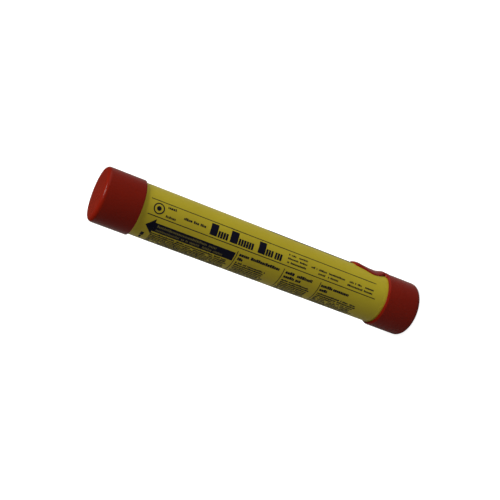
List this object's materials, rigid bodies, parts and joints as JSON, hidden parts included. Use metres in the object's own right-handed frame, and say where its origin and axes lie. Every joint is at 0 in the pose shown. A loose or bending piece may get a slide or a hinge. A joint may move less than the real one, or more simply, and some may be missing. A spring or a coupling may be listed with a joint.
{
  "type": "hand-held parachute signal rocket",
  "caption": "Yellow launching tube with red snap caps, a thin thumb tab, a folded trigger lever and a rocket with a parachute light inside.",
  "frame": {"origin": "centre of the bottom cap's flat foot, on the tube's axis", "axes": "+Z along the tube towards the muzzle, -Y towards the arrow on the label, +X towards the thumb tab"},
  "size_m": [0.0474, 0.0468, 0.289],
  "materials": {
    "tube_yellow": "semi-gloss",
    "label_film": "semi-gloss film",
    "cap_red": "semi-gloss",
    "seal_black": "matt",
    "body_black": "matt",
    "lever_grey": "matt",
    "steel": "brushed",
    "brass": "satin",
    "aluminium": "satin",
    "graphite": "matt",
    "grain_grey": "matt",
    "plug_tan": "matt",
    "candle_pale": "matt",
    "chute_cloth": "soft",
    "felt": "soft",
    "nose_white": "matt",
    "foil": "bright foil",
    "foam": "soft foam"
  },
  "bodies": {
    "launcher": {"launch_tube": "tube_yellow", "printed_label": "label_film", "bottom_seal_ring": "seal_black", "top_seal_ring": "seal_black", "igniter_body": "body_black", "lever_pin": "steel", "striker_retainer": "steel", "primer_holder": "aluminium", "percussion_primer": "brass", "flash_tube": "brass"},
    "bottom_cap": {"bottom_cap": "cap_red"},
    "thumb_tab": {"thumb_tab": "cap_red"},
    "trigger_lever": {"trigger_lever": "lever_grey"},
    "striker": {"striker": "brass", "firing_pin": "steel", "striker_spring": "steel"},
    "rocket": {"nozzle_seal": "foil", "nozzle": "graphite", "motor_case": "aluminium", "propellant_grain": "grain_grey", "motor_head_plug": "plug_tan", "delay_element": "brass", "ejection_cup": "aluminium", "payload_tube": "aluminium"},
    "payload": {"candle_case": "aluminium", "light_candle": "candle_pale", "swivel_eye": "steel", "packed_parachute": "chute_cloth", "wadding_disc": "felt"},
    "nose": {"nose_cap": "nose_white", "muzzle_seal_disc": "foil"},
    "top_cap": {"top_cap": "cap_red", "cap_pad": "foam"}
  },
  "joints": [
    {"name": "rocket_launch", "type": "slide", "parent": "launcher", "child": "rocket", "axis": [0, 0, 1], "range_m": [0, 0.25]},
    {"name": "payload_eject", "type": "slide", "parent": "rocket", "child": "payload", "axis": [0, 0, 1], "range_m": [0, 0.105]},
    {"name": "nose_release", "type": "slide", "parent": "payload", "child": "nose", "axis": [0, 0, 1], "range_m": [0, 0.03]},
    {"name": "top_cap_pull", "type": "slide", "parent": "nose", "child": "top_cap", "axis": [0, 0, 1], "range_m": [0, 0.06]},
    {"name": "bottom_cap_pull", "type": "slide", "parent": "launcher", "child": "bottom_cap", "axis": [0, 0, -1], "range_m": [0, 0.08]},
    {"name": "lever_drop", "type": "hinge", "parent": "launcher", "child": "trigger_lever", "pos_m": [-0.014, 0, 0.0085], "axis": [0, 1, 0], "range_deg": [0, 90]},
    {"name": "tab_flex", "type": "hinge", "parent": "bottom_cap", "child": "thumb_tab", "pos_m": [0.02405, 0, 0.0333], "axis": [0, 1, 0], "range_deg": [0, 50], "stiffness_Nm_per_rad": 0.02},
    {"name": "striker_press", "type": "slide", "parent": "launcher", "child": "striker", "axis": [0, 0, 1], "range_m": [0, 0.0026], "stiffness_N_per_m": 600, "springref_m": -0.003, "deforming": ["striker_spring"]}
  ],
  "couplings": [
    {"joint": "lever_drop", "follows": "bottom_cap_pull", "rad_per_m": 19.6}
  ]
}
